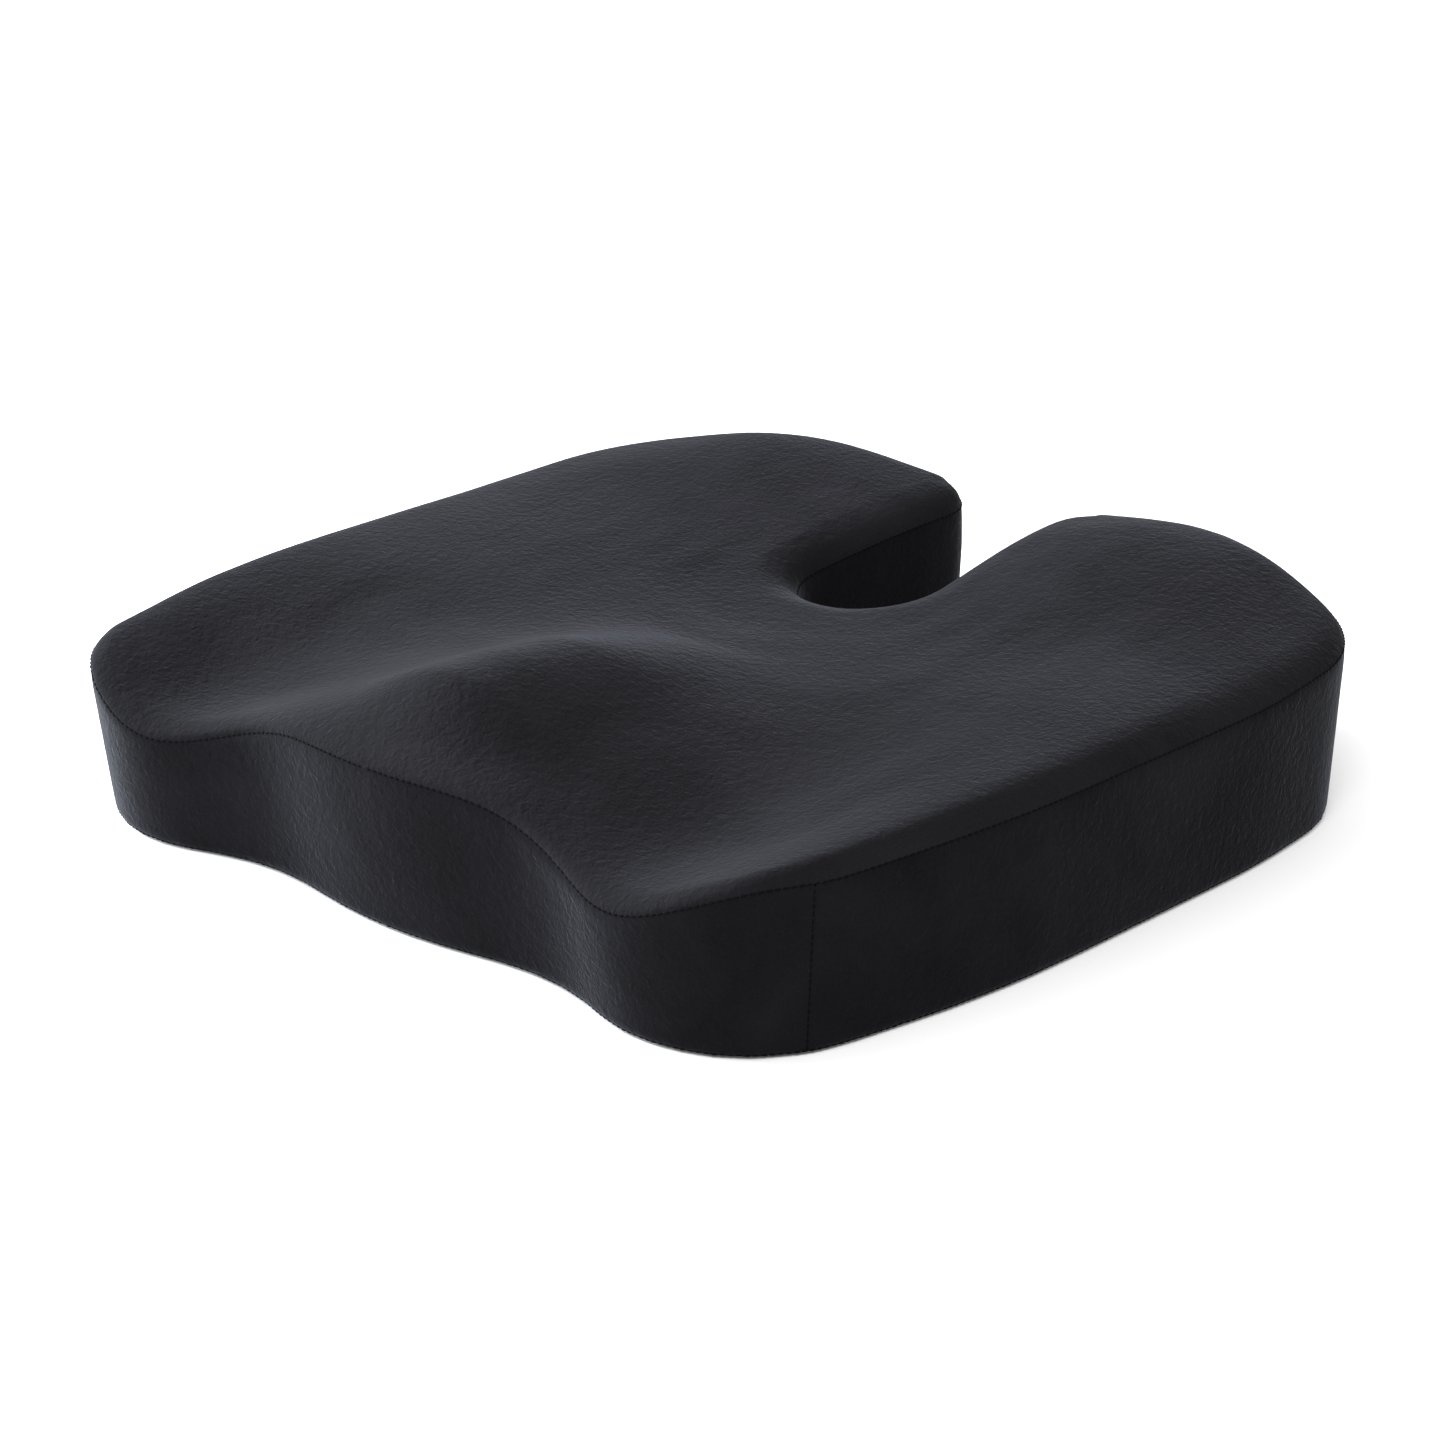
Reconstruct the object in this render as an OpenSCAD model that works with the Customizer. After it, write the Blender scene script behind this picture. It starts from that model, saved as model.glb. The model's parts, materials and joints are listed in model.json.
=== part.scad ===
// Coccyx seat cushion: a moulded foam block in a sewn, zipped pile-fabric cover.
// +X is the sitter's right, +Y points to the backrest, +Z is up. The origin is the middle of
// the base, on the surface that the cushion lies on. All sizes are in millimetres.

/* [Overall size] */
// Width across the widest point of the two sides
cushion_w = 450; // [400:5:500]
// Depth from the front lobes to the rear edge
cushion_d = 428; // [390:5:460]

/* [Seat surface] */
// Height of the side rims
side_h = 80; // [74:1:92]
// How far the two rear lobes rise above the side rims
rear_rise = 14; // [0:1:20]
// Depth of the seat basin below the side rims
basin_depth = 12; // [0:1:15]
// Depth of each thigh groove at the front edge
groove_depth = 23; // [0:1:25]
// Distance of each thigh groove from the centre line
groove_x = 127; // [110:1:140]
// Height of the ridge between the thighs above the seat surface around it
pommel_h = 23; // [0:1:24]
// Reach of the ridge to each side
pommel_w = 45; // [35:1:55]
// Width of the rounding between the seat surface and the side walls
roll_w = 14; // [10:0.5:15]
// Height of the same rounding, which ends at the top seam
roll_h = 8; // [6:0.5:10]
// How far the side walls lean in from the top seam to the base
wall_lean = 3; // [0:0.5:5]

/* [Cover] */
// Thickness of the pile fabric
fabric_t = 1.6; // [1.2:0.1:2]
// Thickness of the anti-slip base fabric
base_t = 1.2; // [1:0.1:1.5]
// Width of the sewn line between two pieces of fabric
seam_w = 0.8; // [0.6:0.1:1]
// Gap between the foam and the cover
foam_gap = 0.2; // [0.1:0.1:0.4]

/* [Zip] */
// Length of the zip opening in the left side band
zip_l = 220; // [180:5:225]
// Height of the zip's middle above the base
zip_z = 17; // [16:0.5:19]
// Distance between neighbouring teeth of one row
tooth_pitch = 2.5; // [2:0.1:3]
// Length of the pull tab from its pivot
pull_l = 26; // [20:1:32]

/* [Hidden] */
$fn = 32;

// ---- Plan outline ----
// Corners of the right half outline on a 450 x 428 plan, from the front centre round the side
// to the notch: [across, along, rounding radius]
PLAN_W = 450;
PLAN_D = 428;
CORNERS = [
    [0, -200, 220],     // front bulge
    [81, -186, 96],     // front scallop
    [141, -207, 73],    // front lobe
    [193, -185, 53],    // front corner
    [218, -80, 500],    // side, front
    [226, 88, 400],     // side, rear
    [220, 168, 70],     // rear corner
    [128, 217, 270],    // middle of the rear edge
    [23, 229, 24],      // notch mouth
    [35, 76, 33]        // notch end
];
REAR_EDGE = 7;          // the corner where the outer and the notch outlines meet
HALF = 44;              // steps along each half outline
ACROSS = 7;             // steps across the seat surface
LOOP = 4 * HALF;        // steps round the whole outline

function unit(v) = v / norm(v);
function smooth(t) = let (c = min(1, max(0, t))) c * c * (3 - 2 * c);
function bell(t) = exp(-t * t);
function mirrored(p) = [-p.x, p.y];
function reversed(list) = [for (i = [len(list) - 1:-1:0]) list[i]];
function between(a, b, t) = a + (b - a) * t;

// The arc that rounds the corner b between its neighbours a and c, in an even number of steps
function rounded(a, b, c, r) =
    let (
        u = unit(a - b), v = unit(c - b), half = acos(u * v) / 2,
        reach = min(r / tan(half), 0.49 * min(norm(a - b), norm(c - b))),
        radius = reach * tan(half), centre = b + unit(u + v) * radius / sin(half),
        p = b + u * reach - centre, q = b + v * reach - centre,
        first = atan2(p.y, p.x), span = atan2(q.y, q.x) - first,
        turn = span > 180 ? span - 360 : (span < -180 ? span + 360 : span),
        steps = 2 * ceil(abs(turn) / 6)
    )
    [for (k = [0:steps])
        centre + radius * [cos(first + turn * k / steps), sin(first + turn * k / steps)]];

function corner(i) = [CORNERS[i].x, CORNERS[i].y];
LAST = len(CORNERS) - 1;
function corner_arc(i) = rounded(
    i == 0 ? mirrored(corner(1)) : corner(i - 1), corner(i),
    i == LAST ? mirrored(corner(LAST)) : corner(i + 1), CORNERS[i][2]);
function joined(lists) = [for (list = lists) for (p = list) p];

rear_arc = corner_arc(REAR_EDGE);
rear_mid = (len(rear_arc) - 1) / 2;
outer_path = concat(
    [for (p = corner_arc(0)) if (p.x > -0.01) p],
    joined([for (i = [1:REAR_EDGE - 1]) corner_arc(i)]),
    [for (k = [0:rear_mid]) rear_arc[k]]);
notch_path = concat(
    [for (k = [rear_mid:len(rear_arc) - 1]) rear_arc[k]],
    joined([for (i = [REAR_EDGE + 1:LAST]) corner_arc(i)]),
    [[0, CORNERS[LAST].y]]);

// The same path as steps + 1 points at equal distances
function lengths(path, i = 0, s = 0) =
    i == len(path) - 1 ? [s]
    : concat([s], lengths(path, i + 1, s + norm(path[i + 1] - path[i])));
function spaced(path, steps) =
    let (
        s = lengths(path), total = s[len(s) - 1],
        xs = [for (i = [0:len(s) - 1]) [s[i], path[i].x]],
        ys = [for (i = [0:len(s) - 1]) [s[i], path[i].y]]
    )
    [for (k = [0:steps]) [lookup(total * k / steps, xs), lookup(total * k / steps, ys)]];

outer_half = spaced(outer_path, HALF);
notch_half = spaced(reversed(notch_path), HALF);
plan_front = min([for (p = outer_half) p.y]);
plan_rear = max([for (p = concat(outer_half, notch_half)) p.y]);
plan_side = max([for (p = outer_half) p.x]);
function placed(p) = [
    p.x * cushion_w / 2 / plan_side,
    (p.y - (plan_front + plan_rear) / 2) * cushion_d / (plan_rear - plan_front)];

// Counter-clockwise: right outer side, right notch side, left notch side, left outer side
outline = [for (k = [0:LOOP - 1]) placed(
    k <= HALF ? outer_half[k]
    : k <= 2 * HALF ? notch_half[2 * HALF - k]
    : k <= 3 * HALF ? mirrored(notch_half[k - 2 * HALF])
    : mirrored(outer_half[LOOP - k]))];
inwards = [for (k = [0:LOOP - 1])
    let (step = outline[(k + 1) % LOOP] - outline[(k + LOOP - 1) % LOOP])
    unit([-step.y, step.x])];

// A place on the outline may be a whole step or a fraction of one
function on_loop(list, t) =
    let (s = (t + LOOP) % LOOP, k = floor(s)) between(list[k], list[(k + 1) % LOOP], s - k);
function inset_point(t, distance) = on_loop(outline, t) + on_loop(inwards, t) * distance;

// ---- Heights ----
plan_k = cushion_d / PLAN_D;
GROOVE_W = 52;          // how fast a thigh groove shallows out sideways
GROOVE_FROM = -200;     // the groove is at its full depth in front of this
GROOVE_TO = 10;         // and has run out here
BASIN_W = 130;          // reach of the seat basin to each side
BASIN_Y = 18;           // lowest place of the basin
BASIN_FRONT = 276;      // its reach forwards
BASIN_REAR = 110;       // and backwards
POMMEL_Y = [-212, -166, -122, 3];   // the ridge's foot, its top from here to here, and its end
RISE_FROM = 48;         // the rear lobes start to rise here
RISE_TO = 188;          // and are at their full height here
LOBE_X = 125;           // middle of each rear lobe
LOBE_W = 85;            // reach of its rise to each side

function seat_z(x, y) =
    let (v = y / plan_k, u = abs(x) * PLAN_W / cushion_w)
    side_h
    + rear_rise * smooth((v - RISE_FROM) / (RISE_TO - RISE_FROM)) * bell((u - LOBE_X) / LOBE_W)
    - basin_depth * bell(u / BASIN_W) * bell((v - BASIN_Y) / (v < BASIN_Y ? BASIN_FRONT : BASIN_REAR))
    + pommel_h * bell(u / pommel_w) * smooth((v - POMMEL_Y[0]) / (POMMEL_Y[1] - POMMEL_Y[0]))
        * (1 - smooth((v - POMMEL_Y[2]) / (POMMEL_Y[3] - POMMEL_Y[2])))
    - groove_depth * bell((u - groove_x) / GROOVE_W)
        * (1 - smooth((v - GROOVE_FROM) / (GROOVE_TO - GROOVE_FROM)));

// How far a place belongs to the front face, where the rounding is tighter
function frontness(y) = smooth((-y / plan_k - 160) / 40);
function roll_w_at(p) = roll_w - (roll_w - 6) * frontness(p.y);
function roll_h_at(p) = roll_h - (roll_h - 4.5) * frontness(p.y);
function lean_at(p) = wall_lean + 4 * frontness(p.y);
seam_z = [for (p = outline) seat_z(p.x, p.y) - roll_h_at(p)];
function wall_top(t) = on_loop(seam_z, t);

// ---- Zip line ----
// The zip holds the lower left wall straight between two places in plan
half_w = cushion_w / 2;
zip_from = [-half_w + 15.5, -105 * plan_k];
zip_to = [-half_w + 5.5, 119 * plan_k];
zip_mid = (zip_from + zip_to) / 2;
zip_turn = atan2(zip_to.y - zip_from.y, zip_to.x - zip_from.x);
zip_out = [-sin(zip_turn), cos(zip_turn)];
FLAT_TO = 33;           // the wall is straight up to this height
FREE_FROM = 50;         // and follows the outline again from here
function near_zip(p) = p.x > -0.8 * half_w ? 0
    : smooth((zip_l / 2 + 32 - abs(unit(zip_to - zip_from) * (p - zip_mid))) / 20);

// ---- Walls, rounding and seat surface, each at a depth below the cover's outer face ----
function wall_inset(t, z, depth) =
    let (
        p = on_loop(outline, t), n = on_loop(inwards, t),
        free = lean_at(p) * (1 - z / wall_top(t)) + depth,
        straight = ((p - zip_from) * zip_out + depth) / max(0.5, -(n * zip_out)),
        hold = near_zip(p) * (1 - smooth((z - FLAT_TO) / (FREE_FROM - FLAT_TO)))
    )
    between(free, max(free, straight), hold);
function wall_point(t, z, depth) =
    let (q = inset_point(t, wall_inset(t, z, depth))) [q.x, q.y, z];
function roll_point(t, angle, depth) =
    let (
        p = on_loop(outline, t), rolled = roll_w_at(p) * (1 - cos(angle)),
        s = inset_point(t, rolled), q = inset_point(t, rolled + depth * cos(angle))
    )
    [q.x, q.y, seat_z(s.x, s.y) - roll_h_at(p) * (1 - sin(angle)) - depth * sin(angle)];
ROLL_ANGLES = [0, 30, 60, 90];

// Points of the seat surface inside the rounding, in rows from the outer side to the notch
function outer_step(i) = (i + LOOP) % LOOP;
function notch_step(i) = 2 * HALF - i;
function seat_points(depth) =
    [for (i = [1 - HALF:HALF - 1]) for (j = [1:ACROSS - 1])
        let (
            a = roll_point(outer_step(i), 90, depth), b = roll_point(notch_step(i), 90, depth),
            x = between(a.x, b.x, j / ACROSS), y = between(a.y, b.y, j / ACROSS)
        )
        [x, y, seat_z(x, y) - depth]];

// ---- Faces ----
// Rings of LOOP points, one above the other, seen from outside
function ring_faces(rings) =
    [for (r = [0:rings - 2]) for (k = [0:LOOP - 1])
        let (a = r * LOOP + k, b = r * LOOP + (k + 1) % LOOP)
        each [[a, a + LOOP, b + LOOP], [a, b + LOOP, b]]];

// A cap over the ring that starts at point ring, filled by rows that start at point rows
function cap_index(i, j, rows, ring, across) =
    abs(i) == HALF || j == 0 ? ring + outer_step(i)
    : j == across ? ring + notch_step(i)
    : rows + (i + HALF - 1) * (across - 1) + j - 1;
function cap_faces(rows, ring, across) =
    [for (i = [-HALF:HALF - 1]) for (j = [0:across - 1])
        let (
            a = cap_index(i, j, rows, ring, across), b = cap_index(i, j + 1, rows, ring, across),
            c = cap_index(i + 1, j + 1, rows, ring, across), d = cap_index(i + 1, j, rows, ring, across)
        )
        each [if (a != b) [a, b, c], if (c != d) [a, c, d]]];

function turned(faces, shift) = [for (f = faces) [f[0] + shift, f[2] + shift, f[1] + shift]];

// A strip of fabric: an outer and an inner grid of rows x columns points, open at its ends or
// closed to a loop
module strip(outer, inner, closed = false) {
    rows = len(outer);
    cols = len(outer[0]);
    count = rows * cols;
    last = closed ? cols - 1 : cols - 2;
    top = (rows - 1) * cols;
    skin = [for (r = [0:rows - 2]) for (q = [0:last])
        let (a = r * cols + q, b = r * cols + (q + 1) % cols)
        each [[a, a + cols, b + cols], [a, b + cols, b]]];
    edges = [for (q = [0:last])
        let (n = (q + 1) % cols)
        each [
            [q, n, n + count], [q, n + count, q + count],
            [top + q, top + q + count, top + n + count], [top + q, top + n + count, top + n]
        ]];
    ends = closed ? [] : [for (r = [0:rows - 2])
        let (a = r * cols, b = a + cols, c = a + cols - 1, d = c + cols)
        each [[b, a, a + count], [b, a + count, b + count], [c, d, d + count], [c, d + count, c + count]]];
    polyhedron(points = concat(joined(outer), joined(inner)),
        faces = concat(skin, turned(skin, count), edges, ends), convexity = 6);
}

// ---- Foam ----
FOAM_COLOUR = "ivory";
VELOUR = [0.13, 0.13, 0.15];
THREAD = [0.08, 0.08, 0.09];
BASE_FABRIC = [0.05, 0.05, 0.055];
METAL = [0.2, 0.2, 0.21];

function foam_wall(z, depth) = [for (k = [0:LOOP - 1]) wall_point(k, z, depth)];

module foam_core() {
    depth = fabric_t + foam_gap;
    heights = [base_t + foam_gap, FLAT_TO, FREE_FROM - 2];
    walls = joined([for (z = heights) foam_wall(z, depth)]);
    roll = [for (a = ROLL_ANGLES) for (k = [0:LOOP - 1]) roll_point(k, a, depth)];
    rings = len(heights) + len(ROLL_ANGLES);
    color(FOAM_COLOUR) difference() {
        polyhedron(
            points = concat(walls, roll, seat_points(depth)),
            faces = concat(
                ring_faces(rings), cap_faces(rings * LOOP, (rings - 1) * LOOP, ACROSS),
                turned(cap_faces(0, 0, 1), 0)),
            convexity = 6);
        at_zip() relief();
    }
}

// ---- Cover ----
module top_panel() {
    rings = len(ROLL_ANGLES);
    lifted = [for (a = ROLL_ANGLES) a == 0 ? seam_w / 2 : 0];
    function layer(depth) = concat(
        [for (r = [0:rings - 1]) for (k = [0:LOOP - 1])
            roll_point(k, ROLL_ANGLES[r], depth) + [0, 0, lifted[r]]],
        seat_points(depth));
    outer = layer(0);
    count = len(outer);
    skin = concat(ring_faces(rings), cap_faces(rings * LOOP, (rings - 1) * LOOP, ACROSS));
    rim = [for (k = [0:LOOP - 1])
        let (n = (k + 1) % LOOP) each [[k, n, n + count], [k, n + count, k + count]]];
    color(VELOUR) polyhedron(points = concat(outer, layer(fabric_t)),
        faces = concat(skin, turned(skin, count), rim), convexity = 6);
}

// Places of the four upright seams on the outline
front_seam = 14.65;
mouth_seam = 56.5;
SEAM_STEP = 0.03;       // half the width of an upright seam, in outline steps
SEAM_PLAY = 0.02;       // gap between a sewn line and the fabric beside it

BAND_FOOT = base_t + seam_w;
function band_heights(t) = [BAND_FOOT, FLAT_TO, FREE_FROM - 2, wall_top(t) - seam_w / 2];
function columns(first, last) =
    concat([first], [for (k = [ceil(first):floor(last)]) if (k > first && k < last) k], [last]);
function band_layer(steps, depth) =
    [for (r = [0:3]) [for (t = steps) wall_point(t, band_heights(t)[r], depth)]];

module band(first, last) {
    steps = columns(first + SEAM_STEP, last - SEAM_STEP);
    strip(band_layer(steps, 0), band_layer(steps, fabric_t));
}
module upright_seam(place) {
    steps = [place - SEAM_STEP * 0.9, place + SEAM_STEP * 0.9];
    color(THREAD) strip(band_layer(steps, 0.4), band_layer(steps, fabric_t));
}

module front_band() color(VELOUR) band(-front_seam, front_seam);
module right_side_band() color(VELOUR) band(front_seam, mouth_seam);
module notch_band() color(VELOUR) band(mouth_seam, LOOP - mouth_seam);
module left_side_band() {
    color(VELOUR) difference() {
        band(LOOP - mouth_seam, LOOP - front_seam);
        at_zip() translate([-zip_l / 2, -10, -ZIP_WINDOW / 2]) cube([zip_l, 20, ZIP_WINDOW]);
    }
}

module base_panel() {
    color(BASE_FABRIC) linear_extrude(base_t)
        polygon([for (k = [0:LOOP - 1]) inset_point(k, wall_inset(k, base_t, 1))]);
}

// The two sewn lines that run all the way round
module top_seam() {
    half = seam_w / 2 - SEAM_PLAY;
    function layer(depth) = [for (side = [-1, 1]) [for (k = [0:LOOP - 1])
        wall_point(k, wall_top(k), depth) + [0, 0, side * half]]];
    color(THREAD) strip(layer(0.3), layer(fabric_t), closed = true);
}
module base_seam() {
    function layer(depth) = [for (z = [base_t + SEAM_PLAY, BAND_FOOT - SEAM_PLAY])
        [for (k = [0:LOOP - 1]) wall_point(k, z, depth)]];
    color(THREAD) strip(layer(0.3), layer(fabric_t), closed = true);
}

module front_right_band_seam() upright_seam(front_seam);
module front_left_band_seam() upright_seam(LOOP - front_seam);
module notch_right_band_seam() upright_seam(mouth_seam);
module notch_left_band_seam() upright_seam(LOOP - mouth_seam);

// ---- Zip ----
// In the zip's own frame X runs along the chain to the closed end, Y points out of the wall
// from the band's outer face, and Z is up.
ZIP_WINDOW = 16;        // height of the opening in the band
TAPE_T = 0.7;
TAPE_W = 12.5;
TAPE_EDGE = 0.75;       // distance of each tape's inner edge from the chain's middle
TAPE_Y = -fabric_t - 0.05 - TAPE_T / 2;
TOOTH = [1.1, 2.2, 3];  // along the chain, through the tape, across it
CHANNEL = 0.4;          // clearance of the chain in the slider
PLATE_T = 1.2;
PLATE_L = 11;
PLATE_W = 9.6;
PLATE_Y = TAPE_Y + TOOTH.y / 2 + CHANNEL;       // underside of the slider's outer plate
PLATE_TOP = PLATE_Y + PLATE_T;
LUG_L = 6.8;
LUG_W = 2.2;
LUG_H = 2.8;
LUG_WALL = 1;
BAR_R = 0.6;
BAR_Y = PLATE_TOP + 0.9;
PULL_W = 6;
PULL_T = 1.2;
slider_rest = zip_l / 2 - 10.5;
chain_end = zip_l / 2 - 4;

module at_zip() translate([zip_mid.x, zip_mid.y, zip_z]) rotate(zip_turn) children();

// Room behind the zip that the slider's inner plate presses into the foam
module relief() {
    depth = 5.4;
    translate([-zip_l / 2 - 2, -depth, -13.5]) cube([zip_l + 4, depth + 20, 27]);
}

module tape_strip(side) {
    translate([-zip_l / 2 - 1, TAPE_Y - TAPE_T / 2, side > 0 ? TAPE_EDGE : -TAPE_W])
        cube([zip_l + 2, TAPE_T, TAPE_W - TAPE_EDGE]);
}
module tape(side) color(THREAD) at_zip() tape_strip(side);
module zip_tape_upper() tape(1);
module zip_tape_lower() tape(-1);

// One row of teeth clamped on a tape edge; the two rows stand half a pitch apart
module teeth(side) {
    count = floor((2 * chain_end - tooth_pitch) / tooth_pitch);
    first = -chain_end + (side > 0 ? 0 : tooth_pitch / 2);
    color(METAL) at_zip() difference() {
        for (i = [0:count - 1])
            translate([first + i * tooth_pitch, TAPE_Y - TOOTH.y / 2, side > 0 ? -0.6 : 0.6 - TOOTH.z])
                cube(TOOTH);
        tape_strip(side);
    }
}
module zip_teeth_upper() teeth(1);
module zip_teeth_lower() teeth(-1);

// A metal clamp on the tape with room for the tape in it
module clamp_stop(place, low, high, long) {
    difference() {
        translate([place, TAPE_Y - 1.3, low]) cube([long, 2.6, high - low]);
        tape_strip(1);
        tape_strip(-1);
    }
}
module zip_top_stops() {
    color(METAL) at_zip() {
        clamp_stop(chain_end + 0.4, 0.3, 2.9, 2.4);
        clamp_stop(chain_end + 0.4, -2.9, -0.3, 2.4);
    }
}
module zip_bottom_stop() {
    color(METAL) at_zip() clamp_stop(-chain_end - 3, -2.9, 2.9, 2.6);
}

module zip_slider() {
    half = PLATE_W / 2;
    inner_y = 2 * TAPE_Y - PLATE_Y;
    slot = TAPE_T / 2 + CHANNEL;
    color(METAL) at_zip() translate([slider_rest, 0, 0]) difference() {
        union() {
            translate([0, PLATE_Y + PLATE_T, 0]) rotate([90, 0, 0]) plate();
            translate([0, inner_y, 0]) rotate([90, 0, 0]) plate();
            // side flanges, with the tape's slot between them
            for (side = [-1, 1]) for (face = [0, 1])
                translate([-PLATE_L / 2 + 1, face ? TAPE_Y + slot : inner_y - 0.1,
                        side > 0 ? half - 1 : -half])
                    cube([PLATE_L - 2, PLATE_Y - TAPE_Y - slot + 0.1, 1]);
            // divider that parts the two rows at the closing end
            translate([PLATE_L / 2 - 2.2, inner_y - 0.1, -0.7])
                cube([1.6, PLATE_Y - inner_y + 0.2, 1.4]);
            translate([-LUG_L / 2, PLATE_TOP - 0.1, -LUG_W / 2]) cube([LUG_L, LUG_H + 0.1, LUG_W]);
        }
        translate([-LUG_L / 2 + LUG_WALL, PLATE_TOP, -LUG_W])
            cube([LUG_L - 2 * LUG_WALL, LUG_H - LUG_WALL, 2 * LUG_W]);
    }
}
module plate() {
    linear_extrude(PLATE_T) difference() {
        square([PLATE_L, PLATE_W], center = true);
        for (side = [-1, 1])
            translate([PLATE_L / 2, side * PLATE_W / 2]) rotate(45) square(2, center = true);
    }
}

// The tab turns about a round bar held under the slider's lug
module zip_pull_tab() {
    hole_l = 4.6;
    hole_w = 3;
    end_r = PULL_W / 2;
    color(METAL) at_zip() translate([slider_rest, BAR_Y, 0]) {
        translate([0, 0, -PULL_W / 2]) cylinder(h = PULL_W, r = BAR_R);
        translate([0, PULL_T / 2, 0]) rotate([90, 0, 0]) linear_extrude(PULL_T) difference() {
            union() {
                translate([-pull_l + end_r, 0]) circle(end_r);
                translate([-pull_l + end_r, -end_r]) square([pull_l - end_r, PULL_W]);
            }
            translate([-hole_l, -hole_w / 2]) square([hole_l + 1, hole_w]);
            translate([-pull_l + end_r, 0]) circle(1.2);
        }
    }
}

foam_core();
top_panel();
front_band();
right_side_band();
left_side_band();
notch_band();
base_panel();
top_seam();
base_seam();
front_right_band_seam();
front_left_band_seam();
notch_right_band_seam();
notch_left_band_seam();
zip_tape_upper();
zip_tape_lower();
zip_teeth_upper();
zip_teeth_lower();
zip_top_stops();
zip_bottom_stop();
zip_slider();
zip_pull_tab();
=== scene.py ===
"""Looks for the coccyx seat cushion: a swollen velour cover, sewn lines, zip and gripped base."""

import json
import math

import bpy
import numpy as np
from mathutils import Matrix, Vector
from mathutils.bvhtree import BVHTree
from mathutils.geometry import delaunay_2d_cdt

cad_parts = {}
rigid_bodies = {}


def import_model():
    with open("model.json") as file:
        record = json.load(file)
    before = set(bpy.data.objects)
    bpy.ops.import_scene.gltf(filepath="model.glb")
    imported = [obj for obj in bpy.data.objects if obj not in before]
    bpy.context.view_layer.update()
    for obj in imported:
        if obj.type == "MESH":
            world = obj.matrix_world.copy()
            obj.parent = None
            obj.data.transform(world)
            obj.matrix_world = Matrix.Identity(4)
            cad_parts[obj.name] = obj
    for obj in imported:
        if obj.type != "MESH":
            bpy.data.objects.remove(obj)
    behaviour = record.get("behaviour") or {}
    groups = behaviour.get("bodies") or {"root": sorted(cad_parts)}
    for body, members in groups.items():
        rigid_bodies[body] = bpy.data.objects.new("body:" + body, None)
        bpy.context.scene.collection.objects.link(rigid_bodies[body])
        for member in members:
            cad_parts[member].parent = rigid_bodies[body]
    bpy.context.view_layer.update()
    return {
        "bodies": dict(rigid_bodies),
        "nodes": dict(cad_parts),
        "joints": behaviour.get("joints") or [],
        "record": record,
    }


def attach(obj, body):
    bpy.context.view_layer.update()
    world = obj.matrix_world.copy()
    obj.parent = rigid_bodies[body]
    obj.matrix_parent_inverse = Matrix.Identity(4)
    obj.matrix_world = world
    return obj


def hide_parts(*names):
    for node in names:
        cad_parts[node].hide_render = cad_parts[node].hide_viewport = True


MM = 0.001

# Camera: where it stands round the cushion, in degrees and millimetres
VIEW_AZIMUTH = 41.6
VIEW_ELEVATION = 21.0
VIEW_DISTANCE = 1346
VIEW_TARGET = (0, -12.1, 30)
VIEW_SHIFT = (-5.3, -2.0)
SENSOR = 36
LENS = 78.2

# Lights: azimuth and elevation in degrees, power in watts, colour
LIGHTS = {
    "key_light": (-75, 28, 78, (0.9, 0.95, 1.0)),
    "side_light": (-52, 16, 28, (0.88, 0.94, 1.0)),
    "front_light": (41, 50, 16, (1.0, 1.0, 1.0)),
}
LIGHT_DISTANCE = 1.8    # metres
LIGHT_SIZE = 0.8
LIGHT_AIM = (0, 0, 0.05)
FLOOR_HALF = 60         # half the floor's side, in metres

# Places round the cushion are in steps of the CAD outline, from the front middle
CAD_STEPS = 176
FRONT_SEAM = 14.65
MOUTH_SEAM = 56.5
UPRIGHT_SEAMS = (FRONT_SEAM, MOUTH_SEAM, CAD_STEPS - MOUTH_SEAM, CAD_STEPS - FRONT_SEAM)
SEAM_NAMES = ("front_right", "notch_right", "notch_left", "front_left")
BANDS = {
    "front_band": (CAD_STEPS - FRONT_SEAM, FRONT_SEAM + CAD_STEPS),
    "right_side_band": (FRONT_SEAM, MOUTH_SEAM),
    "notch_band": (MOUTH_SEAM, CAD_STEPS - MOUTH_SEAM),
    "left_side_band": (CAD_STEPS - MOUTH_SEAM, CAD_STEPS - FRONT_SEAM),
}

# Cover grid, in millimetres
REFINE = 2                                              # columns to each step
COLUMNS = CAD_STEPS * REFINE
LOW_ROWS = (1.0, 1.7, 3.2, 6, 9, 13, 17, 21, 25, 29, 34)
HIGH_ROWS = (0.16, 0.34, 0.52, 0.70, 0.86, 1.0)         # shares of the way on up to the seam
CROWN = (0.6, 1.9, 3.8, 6.2, 9.4, 13.5)                 # distances in from the wall on the top
BASE_SEAM_Z = 1.7
SEAM_SIDE = 2.0         # the wall's last row is this far below the top seam
SEAM_DEPTH = 0.95       # the CAD seam's middle line lies this far inside the wall
SEAM_REACH = 2.2        # all points of one place on the CAD seam lie within this
NOTCH_ROUNDS = 14       # rounds of smoothing that soften the notch's top edge
VALLEY = 0.9            # depth of the valley in which two panels meet
VALLEY_STEP = 0.26      # and its width to each side of an upright seam, in CAD steps
SEAT_LATTICE = 5.0
BASE_LATTICE = 9.0
BASE_EDGE = 2.5         # the base's flat part starts this far inside the wall
SEWN_ROWS = 3           # rows at the foot of the wall that do not swell
RAY_START = 14          # rays at the wall start this far outside the seam
RAY_LENGTH = 40
DROP_HEIGHT = 200       # rays down on the top start at this height

# Smoothing of the grid
PULL = 0.5              # share of the way to the neighbours' middle
PUSH = -0.53            # and back again, so that the shape doesn't shrink
GRID_ROUNDS = 10
SETTLE_ROUNDS = 4
FOAM_ROUNDS = 6
SUBDIVISION = 1

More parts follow.
